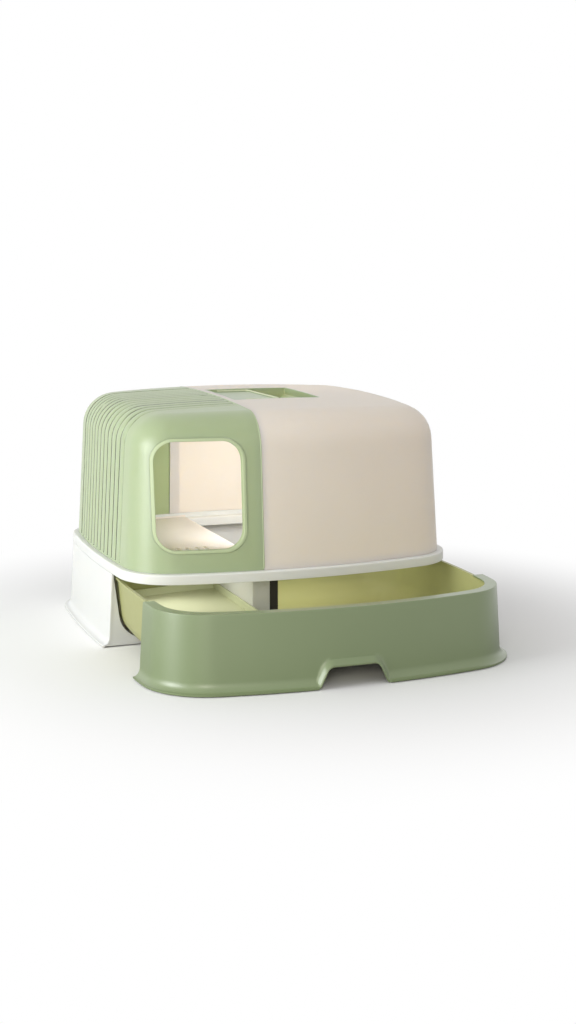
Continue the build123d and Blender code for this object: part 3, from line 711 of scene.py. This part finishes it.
def entry_targets(ends):
    """Where each column meets the seam: grooved columns go straight across to it."""
    count = len(ends)
    first = len(entry_xs) + len(walk(body, [BACK_LEFT])[0])
    last = first + len(groove_ys) - 1
    along = np.concatenate([[0], np.cumsum(np.hypot(*(ends[1:] - ends[:-1]).T))])
    target_y = np.empty(count)
    target_y[first:last + 1] = ends[first:last + 1, 1]
    for a, b in ((0, first), (last, count - 1)):
        target_y[a:b + 1] = np.interp(along[a:b + 1], [along[a], along[b]], [ends[a, 1], ends[b, 1]])
    return np.column_stack([np.full(count, seam_x), target_y])


entry_piece = hood_solid("hood_entry_half", entry_way, entry_targets, True)
print("entry half points:", len(entry_piece.data.vertices))


# %% Geometry Nodes helpers
FLOAT, INT, VECTOR, MATERIAL = (f"NodeSocket{kind}" for kind in ("Float", "Int", "Vector", "Material"))


def node_tree(name, inputs):
    """A tree with a geometry input, the named inputs and a material input, and what they give."""
    tree = bpy.data.node_groups.new(name, "GeometryNodeTree")
    for label, kind in {"Geometry": "NodeSocketGeometry", **inputs, "Material": MATERIAL}.items():
        tree.interface.new_socket(label, in_out="INPUT", socket_type=kind)
    tree.interface.new_socket("Geometry", in_out="OUTPUT", socket_type="NodeSocketGeometry")
    return tree, add_node(tree, "NodeGroupInput").outputs


def add_math(tree, operation, *values):
    return add_node(tree, "ShaderNodeMath", enumerate(values), operation=operation).outputs[0]


def end_tree(tree, given, shape):
    """Ends a tree in Realize Instances and Set Material, because an export drops instances."""
    real = add_node(tree, "GeometryNodeRealizeInstances", {0: shape})
    paint = add_node(tree, "GeometryNodeSetMaterial", {
        "Geometry": real.outputs[0], "Material": given["Material"]})
    add_node(tree, "NodeGroupOutput", {"Geometry": paint.outputs[0]})


def run_tree(piece, tree, values):
    """Runs a tree on a piece with its inputs set by name, and keeps the result as a plain mesh."""
    step = piece.modifiers.new(tree.name, "NODES")
    step.node_group = tree
    for item in tree.interface.items_tree:
        if item.item_type == "SOCKET" and item.in_out == "INPUT" and item.name in values:
            step[item.identifier] = values[item.name]
    settle(piece)


# %% Groove tree
grooves, given = node_tree("roof_and_wall_grooves", {
    "Pitch": FLOAT, "Last Line": FLOAT, "Centre": FLOAT, "Flat Half Width": FLOAT,
    "Full Half Width": FLOAT, "Depth": FLOAT, "Crown": FLOAT, "Lowest": FLOAT,
})
reckon = partial(add_math, grooves)
at_point = add_node(grooves, "GeometryNodeInputPosition").outputs[0]
parts = add_node(grooves, "ShaderNodeSeparateXYZ", {0: at_point}).outputs

# How far a point is from the nearest groove's line.
offset = reckon("SUBTRACT", parts["Y"], given["Centre"])
nearest = reckon("ROUND", reckon("DIVIDE", offset, given["Pitch"]))
nearest = reckon("MINIMUM", nearest, given["Last Line"])
nearest = reckon("MAXIMUM", nearest, reckon("MULTIPLY", given["Last Line"], -1.0))
away = reckon("ABSOLUTE", reckon("SUBTRACT", offset, reckon("MULTIPLY", nearest, given["Pitch"])))

# The share of the full depth there, on the outside above the foot only.
dip = add_node(grooves, "ShaderNodeMapRange", {
    "Value": away, "From Min": given["Flat Half Width"], "From Max": given["Full Half Width"],
    "To Min": 1.0, "To Max": 0.0,
}, interpolation_type="SMOOTHSTEP").outputs["Result"]
above = reckon("GREATER_THAN", parts["Z"], given["Lowest"])
outside = add_node(grooves, "GeometryNodeInputNamedAttribute", {"Name": "outside"}, data_type="FLOAT")
moved = reckon("MULTIPLY", above, outside.outputs["Attribute"])
share = reckon("MULTIPLY", dip, moved)

# The crown of a rib, highest midway between two lines.
half_pitch = reckon("MULTIPLY", given["Pitch"], 0.5)
from_middle = reckon("SUBTRACT", 1.0, reckon("DIVIDE", away, half_pitch))
outermost = reckon("MULTIPLY", given["Last Line"], given["Pitch"])
inner_rib = reckon("LESS_THAN", reckon("ABSOLUTE", offset), outermost)
crowned = reckon("MULTIPLY", reckon("POWER", from_middle, 2.0), inner_rib)
crowned = reckon("MULTIPLY", reckon("MULTIPLY", crowned, moved), given["Crown"])

pressed = reckon("MULTIPLY", share, given["Depth"])
inward = reckon("MULTIPLY", reckon("MAXIMUM", pressed, crowned), -1.0)
facing = add_node(grooves, "GeometryNodeInputNormal").outputs[0]
push = add_node(grooves, "ShaderNodeVectorMath", {0: facing, "Scale": inward}, operation="SCALE")
move = add_node(grooves, "GeometryNodeSetPosition", {
    "Geometry": given["Geometry"], "Offset": push.outputs[0]})
# The share of painted shade for the grooves, made stronger and kept as an attribute for the finish.
shade = reckon("MINIMUM", reckon("MULTIPLY", share, 2.5), 1.0)
keep = add_node(grooves, "GeometryNodeStoreNamedAttribute", {
    "Geometry": move.outputs[0], "Name": "groove", "Value": shade}, data_type="FLOAT")
end_tree(grooves, given, keep.outputs["Geometry"])

# %% Press the grooves into the entry half
mark = entry_piece.data.attributes.new("outside", "FLOAT", "POINT")
as_key = lambda p: tuple(np.round(p, 5))
outer_points = {as_key(p) for p in hood_sheet(0, entry_way, entry_targets).reshape(-1, 3) * MM}
on_outside = [as_key(np.array(v.co)) in outer_points for v in entry_piece.data.vertices]
mark.data.foreach_set("value", np.array(on_outside, np.float32))
run_tree(entry_piece, grooves, {
    "Pitch": groove_pitch * MM, "Last Line": (groove_count - 1) / 2, "Centre": base_y * MM,
    "Flat Half Width": groove_flat * MM, "Full Half Width": groove_edge * MM, "Depth": groove_depth * MM,
    "Crown": rib_crown * MM, "Lowest": (ring_top + groove_foot) * MM, "Material": ribbed_sage,
})
entry_piece.data.attributes.remove(entry_piece.data.attributes["outside"])
print("grooves pressed:", groove_count)

# %% [markdown]
# ### Window
# The opening is a tall rounded rectangle that reaches round the front corner, with a pale trim
# set into it. The hole is cut with a boolean. The trim is a closed section carried round the
# same loop, and each of its points takes its y from the hood's surface at that x and z, so the
# trim stands equally proud all round the bend.

# %% Window opening
window_x, window_z, window_width, window_height, window_corner = -161.5, 249.0, 130.0, 163.5, 30.0
window_step = 8  # length of the straight stretches' pieces
trim_width, hole_front, hole_back = 5.0, -230, -60


def window_loop(grow, arcs=12):
    """Rounded rectangle, grown all round, as (x, z) points."""
    half_x, half_z, r = window_width / 2 + grow, window_height / 2 + grow, window_corner + grow
    loop = []
    for sx, sz, start in ((1, 1, 0), (-1, 1, 90), (-1, -1, 180), (1, -1, 270)):
        x, z = window_x + sx * (half_x - r), window_z + sz * (half_z - r)
        for k in range(arcs + 1):
            a = math.radians(start + 90 * k / arcs)
            loop.append((x + r * math.cos(a), z + r * math.sin(a)))
    straight = []
    for (x1, z1), (x2, z2) in zip(loop, loop[1:] + loop[:1]):
        pieces = max(1, round(math.hypot(x2 - x1, z2 - z1) / window_step))
        straight += [(x1 + (x2 - x1) * k / pieces, z1 + (z2 - z1) * k / pieces) for k in range(pieces)]
    return straight


def cut(piece, outline, low, high, upright=False):
    """Cuts a prism out of a piece."""
    tool = new_solid("cutter", *prism(outline, low, high, upright))
    away = piece.modifiers.new("cut", "BOOLEAN")
    away.operation = "DIFFERENCE"
    away.solver = "EXACT"
    away.object = tool
    settle(piece)
    bpy.data.objects.remove(tool)


cut(entry_piece, window_loop(trim_width + 0.2), hole_front, hole_back, upright=True)
dress(entry_piece, "hood", ribbed_sage, ["hood_entry_shell"], sharp=38)

# %% Window trim
trim_out, trim_deep = -1.2, 8.0  # from just proud of the hood's surface to behind its wall
trim_way = [("left", np.array([-lead_y])), FRONT_LEFT, ("front", np.linspace(-lead_x, -40, 30))]
proud_sheet, deep_sheet = (
    hood_sheet(depth, trim_way, lambda ends: ends, wall_rows=40, edge_rows=24, roof_rows=1)
    for depth in (trim_out, trim_deep)
)


def front_y(x, z, depth):
    """The hood's surface, at this depth below it, straight behind a point of the window."""
    sheet = proud_sheet + (deep_sheet - proud_sheet) * (depth - trim_out) / (trim_deep - trim_out)
    at = [(np.interp(z, line[:-1, 2], line[:-1, 0]), np.interp(z, line[:-1, 2], line[:-1, 1]))
          for line in sheet.transpose(1, 0, 2)]
    xs, ys = np.array(at).T
    return float(np.interp(x, xs, ys))


trim_section = rounded([
    (0, trim_out, 1.1), (trim_width, trim_out, 1.1), (trim_width, trim_deep, 0), (0, trim_deep, 0.6),
], arcs=4)
trim_points = [(x, front_y(x, z, depth), z) for grow, depth in trim_section for x, z in window_loop(grow)]
trim_faces = bar_faces(len(trim_section), len(window_loop(0)), closed=True)
trim_piece = new_solid("window_trim", trim_points, trim_faces)
dress(trim_piece, "hood", pale_sage_trim_and_highlight, ["window_bezel"])

# %% [markdown]
# ### Plain half
# The cream half has no grooves. Its columns end on the line through the roof's middle, and
# the last ones meet in one point, which the handle's recess then cuts away.

# %% Plain half
recess_x, recess_y, recess_width, recess_length = 18.0, base_y + 5.0, 148.0, 165.0
recess_gap, recess_round = 0.4, 4.2
plain_xs = np.concatenate([np.linspace(seam_x, recess_x, 8), np.linspace(recess_x, lead_x, 12)[1:]])
plain_way = [
    ("front", plain_xs), FRONT_RIGHT, ("right", along_ys), BACK_RIGHT, ("back", plain_xs[::-1]),
]
plain_targets = lambda ends: np.column_stack([np.minimum(ends[:, 0], recess_x), np.zeros(len(ends))])
plain_piece = hood_solid("hood_plain_half", plain_way, plain_targets, False)
half_x, half_y = (recess_width + recess_gap) / 2, (recess_length + recess_gap) / 2
square = (-1, -1), (1, -1), (1, 1), (-1, 1)
recess_corners = [(recess_x + sx * half_x, recess_y + sy * half_y, recess_round) for sx, sy in square]
recess_outline = rounded(recess_corners, arcs=6)
cut(plain_piece, recess_outline, roof_top - 50, roof_top + 20)
dress(plain_piece, "hood", cream, ["hood_main_shell"], sharp=38)

# %% [markdown]
# ### Seam bead
# Where the two halves meet, a thin pale line runs from the front over the roof to the back:
# light caught along the joint's edge. A bead of pale plastic paints that highlight on. A polyline
# follows the seam, and Geometry Nodes turn it into a thin round bar, most of which lies below
# the surface.

# %% Bead tree
bead, given = node_tree("rolled_bead", {"Radius": FLOAT, "Sides": INT})
path = add_node(bead, "GeometryNodeMeshToCurve", {"Mesh": given["Geometry"]})
bead_ring = add_node(bead, "GeometryNodeCurvePrimitiveCircle", {
    "Radius": given["Radius"], "Resolution": given["Sides"]})
bar = add_node(bead, "GeometryNodeCurveToMesh", {
    "Curve": path.outputs["Curve"], "Profile Curve": bead_ring.outputs["Curve"], "Fill Caps": True})
end_tree(bead, given, bar.outputs["Mesh"])


def bead_along(name, points, radius, plastic):
    """A round bar of this radius, in millimetres, along points in metres."""
    line = bpy.data.meshes.new(name + "_line")
    line.from_pydata(points, [(i, i + 1) for i in range(len(points) - 1)], [])
    piece = put_in_scene(name, line)
    run_tree(piece, bead, {"Radius": radius * MM, "Sides": 12, "Material": plastic})
    return piece


# %% Seam bead
bead_sink = 0.9
sunk = hood_sheet(bead_sink, plain_way, plain_targets) * MM
seam_line = [*sunk[1:, 0].tolist(), *sunk[1:-1, -1][::-1].tolist()]
# Painted highlight: a pale bead along the seam, mostly sunk below the surface.
dress(bead_along("seam_painted_highlight", seam_line, 1.35, pale_sage_trim_and_highlight), "hood", pale_sage_trim_and_highlight)

# %% [markdown]
# ### Rim of the roof flap
# The flap has a low rim round its free edges, and its top catches a pale line of light. That
# line is a painted highlight: the same tree makes a rolled bead of pale plastic that follows the
# rim on three sides and turns with the flap.

# %% Flap rim
flap_low, flap_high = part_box("handle_flap")
rim_in, rim_turn, rim_start, rim_sink = 1.5 * MM, 5.0 * MM, 18.0 * MM, 0.5 * MM
turn_steps = 6
turn_x = flap_high[0] - rim_in - rim_turn
flap_rim = [(flap_low[0] + rim_start, flap_high[1] - rim_in)]
for start, turn_y in ((90, flap_high[1] - rim_in - rim_turn), (0, flap_low[1] + rim_in + rim_turn)):
    for k in range(turn_steps + 1):
        a = math.radians(start - 90 * k / turn_steps)
        flap_rim.append((turn_x + rim_turn * math.cos(a), turn_y + rim_turn * math.sin(a)))
flap_rim.append((flap_low[0] + rim_start, flap_low[1] + rim_in))
flap_rim = [(x, y, flap_high[2] - rim_sink) for x, y in flap_rim]
# Painted highlight: a pale bead along the top of the flap's rim.
dress(bead_along("flap_rim_painted_highlight", flap_rim, 1.6, tray_green_and_highlight), "handle", tray_green_and_highlight)

# %% [markdown]
# ## Entry deck
# A cat steps through the window onto a loose deck. Slots in it let litter fall through. Geometry
# Nodes set a slot-shaped bar on each point of a grid and cut them all out of the plate at once.

# %% Deck plate and curb
deck_inset, deck_right, deck_top = 26.5, -50.0, ring_top + 3
deck_way = [
    ("back", np.linspace(deck_right, -lead_x, 12)), BACK_LEFT, ("left", along_ys[::-1]), FRONT_LEFT,
    ("front", np.linspace(-lead_x, deck_right, 12)),
]
deck_outline = walk(inset_size(body, deck_inset), deck_way)[0] + np.array([0, base_y])
deck_piece = new_solid("entry_deck_plate", *prism(deck_outline.tolist(), ring_top, deck_top))
curb_width, curb_rise, curb_sink = 2.5, 3, 0.4
curb_section = rounded([
    (deck_inset, deck_top - curb_sink, 0), (deck_inset, deck_top + curb_rise, 0.8),
    (deck_inset + curb_width, deck_top + curb_rise, 0.8), (deck_inset + curb_width, deck_top - curb_sink, 0),
])

# %% Slot tree
slots, given = node_tree("deck_slots", {
    "Columns": INT, "Rows": INT, "Column Pitch": FLOAT, "Row Pitch": FLOAT, "Centre": VECTOR,
    "Slot Width": FLOAT, "Slot Length": FLOAT, "Bar Height": FLOAT,
})
reckon = partial(add_math, slots)
grid = add_node(slots, "GeometryNodeMeshGrid", {
    "Size X": reckon("MULTIPLY", reckon("SUBTRACT", given["Columns"], 1.0), given["Column Pitch"]),
    "Size Y": reckon("MULTIPLY", reckon("SUBTRACT", given["Rows"], 1.0), given["Row Pitch"]),
    "Vertices X": given["Columns"], "Vertices Y": given["Rows"],
})
shift = add_node(slots, "GeometryNodeTransform", {
    "Geometry": grid.outputs["Mesh"], "Translation": given["Centre"]})
shape = add_node(slots, "GeometryNodeCurvePrimitiveQuadrilateral", {
    "Width": given["Slot Width"], "Height": given["Slot Length"]})
nearly_half = reckon("MULTIPLY", given["Slot Width"], 0.499)
soft = add_node(slots, "GeometryNodeFilletCurve", {
    "Curve": shape.outputs["Curve"], "Count": 8, "Radius": nearly_half}, mode="POLY")
tip = add_node(slots, "ShaderNodeCombineXYZ", {"Z": given["Bar Height"]})
upward = add_node(slots, "GeometryNodeCurvePrimitiveLine", {"End": tip.outputs[0]})
slot_bar = add_node(slots, "GeometryNodeCurveToMesh", {
    "Curve": upward.outputs["Curve"], "Profile Curve": soft.outputs["Curve"], "Fill Caps": True})
on_grid = add_node(slots, "GeometryNodeInstanceOnPoints", {
    "Points": shift.outputs["Geometry"], "Instance": slot_bar.outputs["Mesh"]})
slot_bars = add_node(slots, "GeometryNodeRealizeInstances", {0: on_grid.outputs["Instances"]})
carve = add_node(slots, "GeometryNodeMeshBoolean", {
    "Mesh 1": given["Geometry"], "Mesh 2": slot_bars.outputs[0]}, operation="DIFFERENCE")
end_tree(slots, given, carve.outputs["Mesh"])

# %% Cut the slots and add the curb
slot_rows_y = base_y - 105
run_tree(deck_piece, slots, {
    "Columns": 8, "Rows": 2, "Column Pitch": 15 * MM, "Row Pitch": 62 * MM,
    "Centre": (-155 * MM, slot_rows_y * MM, (ring_top - 2) * MM), "Slot Width": 7 * MM,
    "Slot Length": 46 * MM, "Bar Height": 8 * MM, "Material": cream,
})
curb = new_solid("curb", *sweep(curb_section, deck_way, base_y, closed=False))
with edited(deck_piece.data) as form:
    form.from_mesh(curb.data)
bpy.data.objects.remove(curb)
dress(deck_piece, "deck", cream, ["entry_deck"])

# %% [markdown]
# ## Smaller pieces
# The rest have the right shape in the solids already. A copy of each is merged, its flat faces
# are joined and a small bevel takes the hardness off its edges, because a moulded edge is never
# quite sharp and catches a thin line of light.


# %% Softened copies
def softened(node, name, rides_on, material, bevel=0.8):
    """A merged copy of a CAD node with a small bevel on its edges."""
    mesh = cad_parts[node].data.copy()
    with edited(mesh) as form:
        bmesh.ops.remove_doubles(form, verts=form.verts, dist=1e-5)
        bmesh.ops.dissolve_limit(form, angle_limit=math.radians(0.5), verts=form.verts, edges=form.edges)
    copy = put_in_scene(name, mesh)
    edge = copy.modifiers.new("edge", "BEVEL")
    edge.width, edge.segments = bevel * MM, 2
    edge.limit_method, edge.angle_limit = "ANGLE", math.radians(40)
    settle(copy)
    dress(copy, rides_on, material, [node], sharp=30)


softened("handle_recess", "roof_recess", "hood", sage)
softened("handle_flap", "roof_flap", "handle", sage)
softened("divider", "tub_divider", "drawer", chalk, 1.0)
softened("divider_seal", "divider_seal_strip", "drawer", seal_rubber, 1.0)
softened("step_tray", "step_tray_shell", "step_tray", tray_green_and_highlight)

# %% Finish the pieces that stay as they are
kept = {
    "runner_left": chalk, "runner_right": chalk, "tie_bar": chalk, "cross_beam": chalk,
    "seam_strip": cream, "tub_glides": slide_white, "drawer_stop": slide_white,
    "floor_pads": pad_rubber, "handle_pin": drawn_steel,
}
for node, material in kept.items():
    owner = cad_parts[node]
    for socket in owner.material_slots:
        socket.material = material
print("kept solids:", ", ".join(kept))

# %% [markdown]
# ## Studio
# The photograph has soft light from the left and a plain white ground. A large lamp does most of
# it, a weaker one fills from the front, and the world adds an even pale light. Thin plastic walls
# let light through, so two small hidden lamps, one in the hood and one under the ring, stand for
# what glows inside. The floor is pale and keeps the box's soft shadow.

# %% Floor
floor_half, floor_drop = 6, 0.0002
clean_from, clean_to = 0.40, 0.85  # distances over which the floor turns plain white


def seen_rays(tree, rays):
    """1 for a ray from the camera, a glossy ray or a ray through glass."""
    found = rays["Is Camera Ray"]
    for kind in ("Is Glossy Ray", "Is Transmission Ray"):
        found = add_math(tree, "MAXIMUM", found, rays[kind])
    return found


floor_corners = [(x * floor_half, y * floor_half, 0) for x, y in square]
floor_mesh = bpy.data.meshes.new("floor")
floor_mesh.from_pydata(floor_corners, [], [(0, 1, 2, 3)])
floor = put_in_scene("floor", floor_mesh)
floor.location.z = -floor_drop
floor_paint = bpy.data.materials.new("floor_paint")
floor_paint.use_nodes = True
tree = floor_paint.node_tree
matt = tree.nodes["Principled BSDF"]
matt.inputs["Roughness"].default_value = 0.9
rays = add_node(tree, "ShaderNodeLightPath").outputs
tint = mixed(tree, rays["Is Camera Ray"], (0.45, 0.45, 0.45, 1), (0.93, 0.93, 0.93, 1))
tree.links.new(tint, matt.inputs["Base Color"])
spot = add_node(tree, "ShaderNodeTexCoord").outputs["Object"]
reach = add_node(tree, "ShaderNodeVectorMath", {0: spot}, operation="LENGTH")
fade = add_node(tree, "ShaderNodeMapRange", {
    "Value": reach.outputs["Value"], "From Min": clean_from, "From Max": clean_to,
}, interpolation_type="SMOOTHSTEP")
share = add_math(tree, "MULTIPLY", fade.outputs["Result"], seen_rays(tree, rays))
clean = add_node(tree, "ShaderNodeEmission")
both = add_node(tree, "ShaderNodeMixShader", {"Fac": share, 1: matt.outputs["BSDF"], 2: clean.outputs[0]})
tree.links.new(both.outputs[0], tree.nodes["Material Output"].inputs["Surface"])
floor_mesh.materials.append(floor_paint)
print("floor:", 2 * floor_half, "m wide")


# %% Lamps and world
def soft_lamp(name, at, size, power, colour, towards=(0, 0, 0.15), hidden=False):
    light = bpy.data.lights.new(name, "AREA")
    light.shape, light.size, light.energy, light.color = "DISK", size, power, colour
    lamp = put_in_scene(name, light)
    lamp.location = at
    lamp.rotation_euler = (Vector(towards) - Vector(at)).to_track_quat("-Z", "Y").to_euler()
    lamp.visible_camera = lamp.visible_glossy = not hidden
    print(f"{name}: {power} W, {size} m wide")


soft_lamp("key", (-2.3, -0.45, 0.66), 1.3, 40, (0.98, 1.0, 1.0))
soft_lamp("front", (-1.1, -2.4, 0.75), 0.9, 15, (1.0, 0.93, 0.85))
soft_lamp(
    "through_walls", (0.03, 0.04, 0.27), 0.16, 0.88, (1.0, 0.97, 0.97), (0.05, 0.33, 0.12), hidden=True)
soft_lamp(
    "under_ring", (-0.17, -0.02, 0.108), 0.16, 0.11, (1.0, 0.98, 0.95), (-0.14, -0.06, 0.0), hidden=True)
world = bpy.data.worlds.new("studio")
world.use_nodes = True
tree = world.node_tree
plain_light = tree.nodes["Background"]
plain_light.inputs["Color"].default_value = (1, 1, 1, 1)
plain_light.inputs["Strength"].default_value = 0.62
white = add_node(tree, "ShaderNodeBackground", {"Color": (1, 1, 1, 1), "Strength": 1.0})
rays = add_node(tree, "ShaderNodeLightPath").outputs
choose = add_node(tree, "ShaderNodeMixShader", {
    "Fac": seen_rays(tree, rays), 1: plain_light.outputs[0], 2: white.outputs[0]})
tree.links.new(choose.outputs[0], tree.nodes["World Output"].inputs["Surface"])
bpy.context.scene.world = world
bpy.context.scene.view_settings.view_transform = "Standard"

# %% Camera
lens = bpy.data.cameras.new("camera")
lens.sensor_fit, lens.sensor_height, lens.lens, lens.shift_y = "VERTICAL", 36.0, 52.25, 0.0273
lens.clip_end = 50
looks_down, looks_right = 0.188, 0.355
camera = put_in_scene("camera", lens)
camera.location = (-0.8038, -2.2490, 0.6016)
camera.rotation_euler = (math.pi / 2 - looks_down, 0, -looks_right)
bpy.context.scene.camera = camera
print("lens:", lens.lens, "mm")
